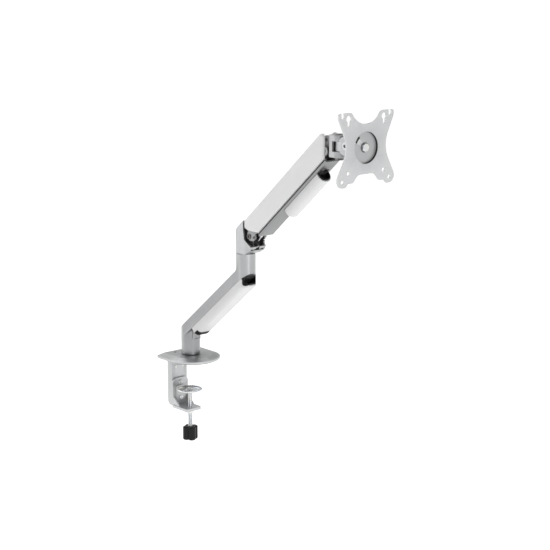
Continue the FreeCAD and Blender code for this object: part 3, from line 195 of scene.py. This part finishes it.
# ---- materials ----------------------------------------------------------------------------
def powder_coat(name, colour, metallic=0.7, roughness=0.36):
    """Silver powder coat: fine metallic flake, a slight orange peel and cloudy tone."""
    material, tree, shader = new_material(name)
    cloud = noise(tree, 18, detail=3)
    flake = noise(tree, 2600, detail=2, roughness=0.7)
    dark = tuple(c * 0.93 for c in colour)
    bright = tuple(min(1.0, c * 1.06) for c in colour)
    tone = ramp(tree, cloud, [(0.3, dark), (0.7, bright)])
    sparkle = ramp(tree, flake, [(0.35, (0.86, 0.86, 0.86)), (0.7, (1.0, 1.0, 1.0))])
    base = mix_colour(tree, 1.0, tone, sparkle, "MULTIPLY")
    worn = mix_colour(tree, edge_wear(tree), base, tuple(min(1.0, c * 1.25) for c in colour))
    tree.links.new(worn, shader.inputs["Base Color"])
    dull = spread(tree, flake, roughness - 0.06, roughness + 0.1, 0.3, 0.7)
    tree.links.new(dull, shader.inputs["Roughness"])
    shader.inputs["Metallic"].default_value = metallic
    peel = noise(tree, 900, detail=2)
    bump(tree, shader, peel, 0.12, 0.12 * MM)
    return material


def moulded(name, colour, roughness, grain=1400, cloud_share=0.03, specular=0.5):
    """Injection-moulded plastic with a fine spark-eroded texture."""
    material, tree, shader = new_material(name)
    cloud = noise(tree, 14, detail=3)
    texture = noise(tree, grain, detail=3, roughness=0.65)
    dark = tuple(c * (1 - cloud_share) for c in colour)
    bright = tuple(min(1.0, c * (1 + cloud_share)) for c in colour)
    base = ramp(tree, cloud, [(0.3, dark), (0.7, bright)])
    tree.links.new(base, shader.inputs["Base Color"])
    dull = spread(tree, texture, roughness - 0.05, roughness + 0.08, 0.3, 0.7)
    tree.links.new(dull, shader.inputs["Roughness"])
    shader.inputs["Specular IOR Level"].default_value = specular
    bump(tree, shader, texture, 0.25, 0.06 * MM)
    return material


def plated(name, colour, roughness=0.24):
    """Zinc plate: bright metal with faint bluish and straw-coloured clouds and fine scratches."""
    material, tree, shader = new_material(name)
    cloud = noise(tree, 55, detail=5)
    scratch = noise(tree, 700, detail=3)
    blue = (colour[0] * 0.93, colour[1] * 0.97, colour[2] * 1.03)
    straw = (colour[0] * 1.04, colour[1] * 1.02, colour[2] * 0.94)
    base = ramp(tree, cloud, [(0.35, blue), (0.5, colour), (0.68, straw)])
    tree.links.new(base, shader.inputs["Base Color"])
    dull = spread(tree, scratch, roughness - 0.08, roughness + 0.14, 0.3, 0.7)
    tree.links.new(dull, shader.inputs["Roughness"])
    shader.inputs["Metallic"].default_value = 1.0
    bump(tree, shader, scratch, 0.1, 0.05 * MM)
    return material


def black_oxide(name):
    """Blackened steel screws and pins, rubbed bright at the edges."""
    material, tree, shader = new_material(name)
    cloud = noise(tree, 120, detail=4)
    base = ramp(tree, cloud, [(0.3, (0.03, 0.03, 0.032)), (0.7, (0.075, 0.073, 0.07))])
    worn = mix_colour(tree, edge_wear(tree, 0.55, 0.7), base, (0.32, 0.31, 0.3))
    tree.links.new(worn, shader.inputs["Base Color"])
    tree.links.new(spread(tree, cloud, 0.3, 0.5, 0.3, 0.7), shader.inputs["Roughness"])
    shader.inputs["Metallic"].default_value = 0.9
    bump(tree, shader, cloud, 0.08, 0.1 * MM)
    return material


def foam(name):
    """Foam rubber with a cellular surface."""
    material, tree, shader = new_material(name)
    place = tree.nodes.new("ShaderNodeTexCoord")
    cells = tree.nodes.new("ShaderNodeTexVoronoi")
    cells.inputs["Scale"].default_value = 1500
    tree.links.new(place.outputs["Object"], cells.inputs["Vector"])
    distance = cells.outputs["Distance"]
    base = ramp(tree, distance, [(0.1, (0.012, 0.012, 0.012)), (0.6, (0.05, 0.05, 0.05))])
    tree.links.new(base, shader.inputs["Base Color"])
    tree.links.new(spread(tree, distance, 0.75, 0.95), shader.inputs["Roughness"])
    bump(tree, shader, distance, 0.4, 0.2 * MM)
    return material


def floor_paper(name):
    """Pale seamless paper that glows a little, like a lit backdrop."""
    material, tree, shader = new_material(name)
    tooth = noise(tree, 60, detail=6)
    base = ramp(tree, tooth, [(0.3, (0.86, 0.86, 0.86)), (0.7, (0.88, 0.88, 0.88))])
    tree.links.new(base, shader.inputs["Base Color"])
    tree.links.new(spread(tree, tooth, 0.8, 0.9), shader.inputs["Roughness"])
    shader.inputs["Specular IOR Level"].default_value = 0.1
    shader.inputs["Emission Color"].default_value = (1.0, 1.0, 1.0, 1.0)
    shader.inputs["Emission Strength"].default_value = FLOOR_GLOW
    return material


MATERIALS = {
    "cast_silver": powder_coat("cast_silver", (0.35, 0.354, 0.358), metallic=0.85, roughness=0.24),
    "steel_silver": powder_coat("steel_silver", (0.48, 0.485, 0.49)),
    "white_cover": moulded("white_cover", (0.79, 0.79, 0.79), 0.42),
    "pale_cover": moulded("pale_cover", (0.68, 0.68, 0.685), 0.4),
    "zinc": plated("zinc", (0.72, 0.73, 0.74)),
    "bright_zinc": plated("bright_zinc", (0.84, 0.85, 0.86)),
    "black_plastic": moulded("black_plastic", (0.008, 0.008, 0.009), 0.4,
                             cloud_share=0.15, specular=0.25),
    "dark_steel": black_oxide("dark_steel"),
    "nylon": moulded("nylon", (0.62, 0.61, 0.57), 0.4, grain=900),
    "rubber_pad": foam("rubber_pad"),
    "spring_black": moulded("spring_black", (0.02, 0.02, 0.021), 0.25, grain=500, cloud_share=0.1),
}


def joint_row(name):
    """The record's entry for a joint."""
    return next(joint for joint in frame["record"]["behaviour"]["joints"] if joint["name"] == name)


def joint_anchor(name):
    """Point that a joint turns about at rest."""
    return Vector(joint_row(name)["pos_m"])


def dish_shaded_steel():
    """Powder-coated plate, with painted shade in the narrow corner round its pressed dish."""
    material = powder_coat("dish_shaded_steel", (0.52, 0.525, 0.53))
    tree = material.node_tree
    shader = tree.nodes["Principled BSDF"]
    place = tree.nodes.new("ShaderNodeTexCoord")
    centre = joint_anchor("plate_rotation")
    offset = vector_math(tree, "SUBTRACT", place.outputs["Object"], centre)
    flat = vector_math(tree, "MULTIPLY", offset.outputs["Vector"], (0.0, 1.0, 1.0))
    radius = vector_math(tree, "LENGTH", flat.outputs["Vector"])
    inner = spread(tree, radius.outputs["Value"], 0.0, 1.0, DISH_CORNER, DISH_CORNER + 0.4 * MM)
    outer = spread(tree, radius.outputs["Value"], 1.0, 0.0, DISH_RIM, DISH_RIM + 0.15 * MM)
    depth = tree.nodes.new("ShaderNodeSeparateXYZ")
    tree.links.new(place.outputs["Object"], depth.inputs["Vector"])
    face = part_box("vesa_plate")[1].x
    below = spread(tree, depth.outputs["X"], 1.0, 0.0, face - DISH_CORNER_DEPTH, face - 0.2 * MM)
    # Painted shade: a near-black ring in the corner between the dish wall and the plate's face
    shade_band = multiply(tree, multiply(tree, inner, outer), below)
    paint_shade(tree, shader, shade_band, (0.03, 0.03, 0.032))
    return material


def seam_shaded_silver():
    """The channel's finish, with a painted shadow in the narrow gap along the white cover's lower
    edge.
    """
    material = powder_coat("seam_shaded_silver", (0.25, 0.253, 0.256), metallic=0.8, roughness=0.36)
    tree = material.node_tree
    shader = tree.nodes["Principled BSDF"]
    foot, head = joint_anchor("arm_lift"), joint_anchor("head_level")
    along = (head - foot).normalized()
    across = Vector((-along.z, 0.0, along.x))
    place = tree.nodes.new("ShaderNodeTexCoord")
    height = vector_math(tree, "DOT_PRODUCT", place.outputs["Object"], across)
    seam = foot.dot(across) - LIP_DEPTH - SEAM_SHADOW_WIDTH
    above = spread(tree, height.outputs["Value"], 0.0, 1.0, seam - 0.3 * MM, seam)
    side = tree.nodes.new("ShaderNodeSeparateXYZ")
    tree.links.new(place.outputs["Object"], side.inputs["Vector"])
    outward = tree.nodes.new("ShaderNodeMath")
    outward.operation = "ABSOLUTE"
    tree.links.new(side.outputs["Y"], outward.inputs[0])
    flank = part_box("upper_frame")[1].y
    outer = spread(tree, outward.outputs["Value"], 0.0, 1.0, flank - 1.2 * MM, flank - 0.8 * MM)
    # Painted shadow: a near-black strip on the outer flank just below the white cover's lower edge
    paint_shade(tree, shader, multiply(tree, above, outer), SEAM_SHADOW_BLACK)
    return material


MATERIALS["seam_shaded_silver"] = seam_shaded_silver()
MATERIALS["dish_shaded_steel"] = dish_shaded_steel()
OWN_MATERIALS = {
    "vesa_plate": "dish_shaded_steel",
    "upper_frame": "seam_shaded_silver",
    "tilt_bolt": "steel_silver",
    "pan_bolt": "dark_steel",
    "pan_nut": "dark_steel",
    "pan_washers": "dark_steel",
    "head_bracket": "steel_silver",
    "tilt_knuckle": "steel_silver",
    "clamp_disc": "bright_zinc",
    "lower_cable_cover": "pale_cover",
    "cable_clip_cover": "pale_cover",
}


def dress_cad_nodes():
    """Each CAD node takes its own material, or that of its slot in the record."""
    slots = {row["node"]: row["material_slot"] for row in frame["record"]["subparts"]}
    for name, node in frame["nodes"].items():
        node.data.materials.clear()
        node.data.materials.append(MATERIALS[OWN_MATERIALS.get(name, slots[name])])


# ---- detailed pieces ----------------------------------------------------------------------
def mesh_piece(name, vertices, faces, body, slot):
    """New mesh object that rides on a body and takes a slot's material."""
    mesh = bpy.data.meshes.new(name)
    mesh.from_pydata(vertices, [], faces)
    mesh.validate()
    mesh.polygons.foreach_set("use_smooth", [True] * len(mesh.polygons))
    mesh.materials.append(MATERIALS[slot])
    piece = bpy.data.objects.new(name, mesh)
    bpy.context.scene.collection.objects.link(piece)
    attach(piece, body)
    return piece


def threaded_spindle():
    """Clamp screw with a rolled thread and a plain tip that carries the disc."""
    low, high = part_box("spindle")
    centre = ((low.x + high.x) / 2, (low.y + high.y) / 2)
    outer = (high.x - low.x) / 2
    thread_top = high.z - TIP_LENGTH
    rows = int((thread_top - low.z) / (THREAD_PITCH / ROWS_PER_PITCH))
    vertices, faces = [], []

    def add_row(z, radius_at):
        for i in range(THREAD_SEGMENTS):
            angle = 2 * math.pi * i / THREAD_SEGMENTS
            r = radius_at(angle)
            vertices.append((centre[0] + r * math.cos(angle), centre[1] + r * math.sin(angle), z))

    def threaded(z):
        def radius_at(angle):
            phase = (z - low.z) / THREAD_PITCH - angle / (2 * math.pi)
            ridge = abs((phase % 1.0) * 2 - 1)
            end_taper = min(1.0, (z - low.z) / THREAD_PITCH, (thread_top - z) / THREAD_PITCH)
            return outer - THREAD_DEPTH * (1 - min(1.0, ridge * 1.25) * max(0.0, end_taper))
        return radius_at

    add_row(low.z, lambda angle: TIP_CHAMFER)
    for i in range(rows + 1):
        z = low.z + (thread_top - low.z) * i / rows
        add_row(z, threaded(z))
    add_row(thread_top + TIP_CHAMFER, lambda angle: TIP_RADIUS)
    add_row(high.z - TIP_CHAMFER, lambda angle: TIP_RADIUS)
    add_row(high.z, lambda angle: TIP_RADIUS - TIP_CHAMFER)
    row_count = len(vertices) // THREAD_SEGMENTS
    for row in range(row_count - 1):
        for i in range(THREAD_SEGMENTS):
            a = row * THREAD_SEGMENTS + i
            b = row * THREAD_SEGMENTS + (i + 1) % THREAD_SEGMENTS
            faces.append((a, b, b + THREAD_SEGMENTS, a + THREAD_SEGMENTS))
    faces.append(tuple(reversed(range(THREAD_SEGMENTS))))
    faces.append(tuple(range((row_count - 1) * THREAD_SEGMENTS, row_count * THREAD_SEGMENTS)))
    piece = mesh_piece("clamp_screw_thread", vertices, faces, "clamp_spindle", "zinc")
    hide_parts("spindle")


# ---- studio -------------------------------------------------------------------------------
def surround():
    """Studio walls with two darker stretches, for contrast on the metal."""
    world = bpy.data.worlds.new("studio")
    bpy.context.scene.world = world
    world.use_nodes = True
    tree = world.node_tree
    direction = tree.nodes.new("ShaderNodeTexCoord")
    around = tree.nodes.new("ShaderNodeTexGradient")
    around.gradient_type = "RADIAL"
    tree.links.new(direction.outputs["Generated"], around.inputs["Vector"])
    stops = [(-180, 0.5), (-162, 0.95), (-130, 0.95), (-114, 0.1), (-82, 0.1), (-50, 0.4),
             (-22, 1.0), (6, 1.0), (30, 0.25), (56, 0.15), (78, 0.75), (104, 0.7), (130, 0.55),
             (180, 0.5)]
    levels = [((azimuth + 180) / 360, (level,) * 3) for azimuth, level in stops]
    walls = ramp(tree, around.outputs["Fac"], levels)
    background = tree.nodes["Background"]
    tree.links.new(walls, background.inputs["Color"])
    background.inputs["Strength"].default_value = WALL_STRENGTH


def soft_box(name, azimuth, distance, height, width, tall, power):
    """Upright area light, turned towards the middle of the arm."""
    light = bpy.data.lights.new(name, "AREA")
    light.shape = "RECTANGLE"
    light.size, light.size_y = width, tall
    light.energy = power
    lamp = bpy.data.objects.new(name, light)
    turn = math.radians(azimuth)
    x = LIGHT_TARGET.x + distance * math.cos(turn)
    y = LIGHT_TARGET.y + distance * math.sin(turn)
    lamp.location = (x, y, height)
    lamp.rotation_mode = "QUATERNION"
    lamp.rotation_quaternion = (LIGHT_TARGET - lamp.location).to_track_quat("-Z", "Y")
    bpy.context.scene.collection.objects.link(lamp)


def studio():
    """Pale floor below the lowest place of the clamp's grip, soft walls and three soft boxes."""
    mesh = bpy.data.meshes.new("studio_floor")
    z = CAD_LOW.z + joint_row("clamp_travel")["range_m"][0] - FLOOR_GAP
    half = FLOOR_HALF_SIZE
    corners = [(-half, -half, z), (half, -half, z), (half, half, z), (-half, half, z)]
    mesh.from_pydata(corners, [], [(0, 1, 2, 3)])
    floor = bpy.data.objects.new("studio_floor", mesh)
    mesh.materials.append(floor_paper("studio_floor"))
    bpy.context.scene.collection.objects.link(floor)

    surround()
    soft_box("left_box", azimuth=-144, distance=2.3, height=0.75, width=1.5, tall=1.7, power=8)
    soft_box("right_box", azimuth=-8, distance=2.3, height=0.7, width=0.7, tall=1.6, power=9)
    soft_box("back_box", azimuth=160, distance=2.0, height=2.0, width=1.7, tall=1.2, power=11)


def camera():
    """Looks at the arm from ahead and to its right, a little above it."""
    data = bpy.data.cameras.new("camera")
    data.sensor_width = SENSOR_WIDTH
    data.lens = CAMERA_LENS
    data.clip_start, data.clip_end = 0.1, 30.0
    view = bpy.data.objects.new("camera", data)
    view.location = CAMERA_PLACE
    view.rotation_euler = (math.radians(90) - CAMERA_DOWN, 0.0, CAMERA_AZIMUTH)
    bpy.context.scene.collection.objects.link(view)
    bpy.context.scene.camera = view


dress_cad_nodes()
threaded_spindle()
studio()
camera()
bpy.context.scene.view_settings.view_transform = "Standard"
